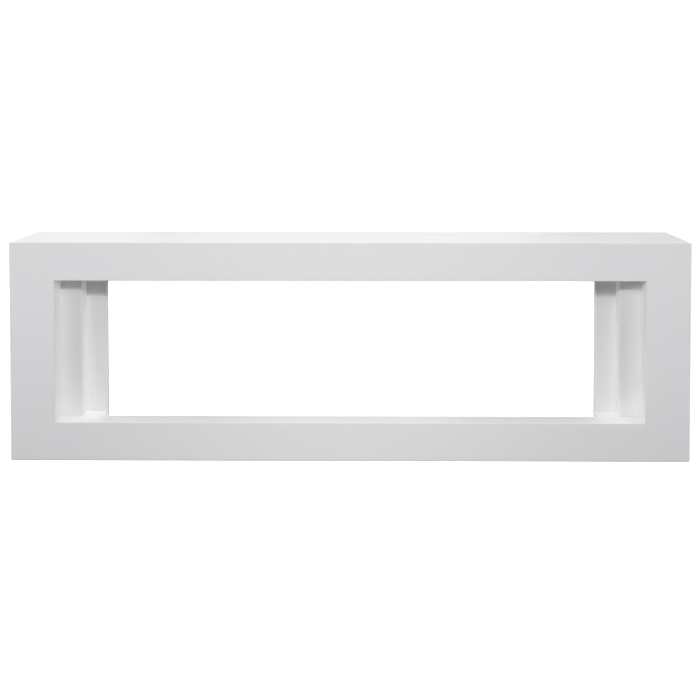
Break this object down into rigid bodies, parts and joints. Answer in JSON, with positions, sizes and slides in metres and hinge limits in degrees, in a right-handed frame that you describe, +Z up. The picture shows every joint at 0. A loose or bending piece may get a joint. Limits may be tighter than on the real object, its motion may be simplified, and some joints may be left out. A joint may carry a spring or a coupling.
{
  "type": "fireplace mantelpiece",
  "caption": "Low, wide painted mantelpiece: a plain flat front frame on an open-backed box, with stepped slips at the sides of the fire opening and a flat shelf on top.",
  "frame": {"origin": "on the floor, under the middle of the box", "axes": "+X to the right as seen from the front, +Y towards the wall behind, +Z up"},
  "size_m": [1.5, 0.3, 0.484],
  "materials": {
    "satin_white_paint": "satin white paint on board"
  },
  "bodies": {
    "root": {"front_frame": "satin_white_paint", "mantel_shelf": "satin_white_paint", "base_board": "satin_white_paint", "left_end_panel": "satin_white_paint", "right_end_panel": "satin_white_paint", "hearth_board": "satin_white_paint", "soffit_board": "satin_white_paint", "left_cheek": "satin_white_paint", "right_cheek": "satin_white_paint", "left_outer_slip": "satin_white_paint", "right_outer_slip": "satin_white_paint", "left_inner_slip": "satin_white_paint", "right_inner_slip": "satin_white_paint"}
  },
  "joints": []
}
